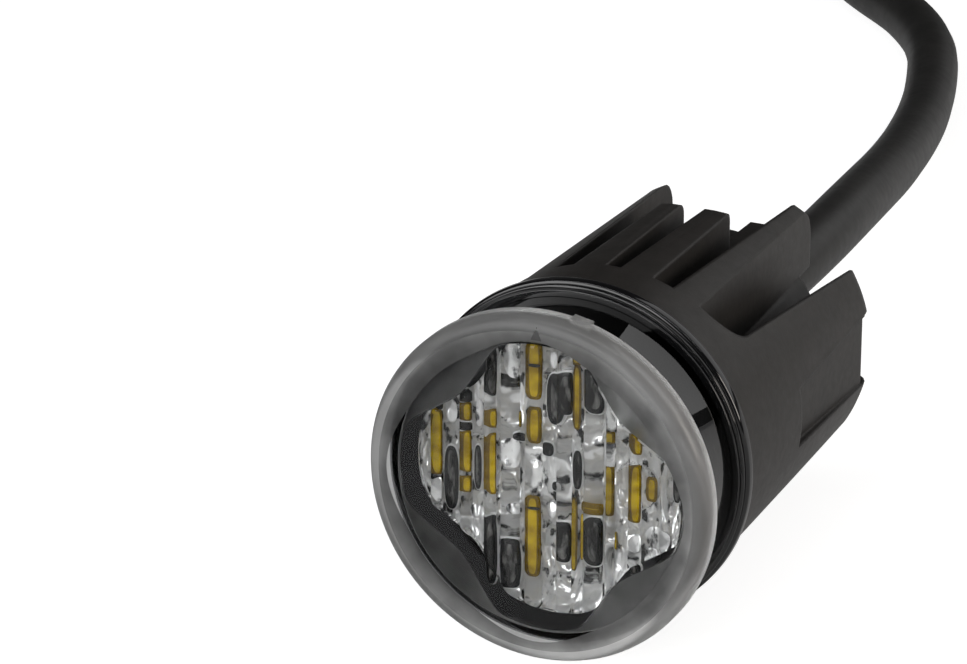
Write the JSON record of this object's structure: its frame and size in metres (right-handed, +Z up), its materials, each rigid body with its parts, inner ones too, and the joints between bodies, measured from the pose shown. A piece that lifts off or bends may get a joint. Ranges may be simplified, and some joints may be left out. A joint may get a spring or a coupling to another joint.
{
  "type": "strobe beacon",
  "caption": "Round hide-away LED strobe beacon: clear flanged lens over a cross-shaped fluted optic, black finned heatsink body and a rear power lead.",
  "frame": {"origin": "on the lamp's axis at the rear face of the lens flange, where the neck groove begins", "axes": "+Y along the lamp's axis from the lens to the lead, +Z up, +X to the right seen from the lens"},
  "size_m": [0.1223, 0.3883, 0.046],
  "materials": {
    "lens_clear": "clear moulded plastic, frosted round the window",
    "trim_black": "gloss black plastic",
    "heatsink_black": "die-cast, satin black coating",
    "seal_rubber": "matt black rubber",
    "pad_grey": "soft grey heat-conducting pad",
    "board_black": "black solder mask",
    "screw_steel": "plated steel",
    "led_white": "white ceramic",
    "phosphor_yellow": "yellow phosphor face",
    "resistor_black": "black body, tinned ends",
    "optic_clear": "clear polished plastic",
    "driver_green": "green solder mask",
    "drum_dark": "dark ferrite",
    "can_silver": "bright can",
    "chip_black": "matt black moulding",
    "wire_white": "white insulated wire",
    "gland_rubber": "matt black rubber",
    "potting_black": "cast black resin",
    "cord_black": "satin black jacket",
    "tie_black": "black plastic",
    "lead_red": "red insulated wire",
    "lead_black": "black insulated wire",
    "lead_yellow": "yellow insulated wire",
    "copper_bare": "bare copper strands, tinned at the ends"
  },
  "bodies": {
    "root": {"lens": "lens_clear", "trim_ring": "trim_black", "heatsink": "heatsink_black", "seal_ring": "seal_rubber", "thermal_pad": "pad_grey", "led_board": "board_black", "board_screws": "screw_steel", "led_packages": "led_white", "led_phosphors": "phosphor_yellow", "chip_resistors": "resistor_black", "collimator_optic": "optic_clear", "driver_board": "driver_green", "inductor": "drum_dark", "capacitor": "can_silver", "driver_chips": "chip_black", "led_leads": "wire_white", "supply_leads": "wire_white", "cord_stub": "cord_black", "cable_gland": "gland_rubber", "potting_plug": "potting_black", "cord_tube": "cord_black", "cord_coil": "cord_black", "coil_ties": "tie_black", "lead_red": "lead_red", "lead_black": "lead_black", "lead_yellow": "lead_yellow", "lead_strands": "copper_bare"}
  },
  "joints": []
}
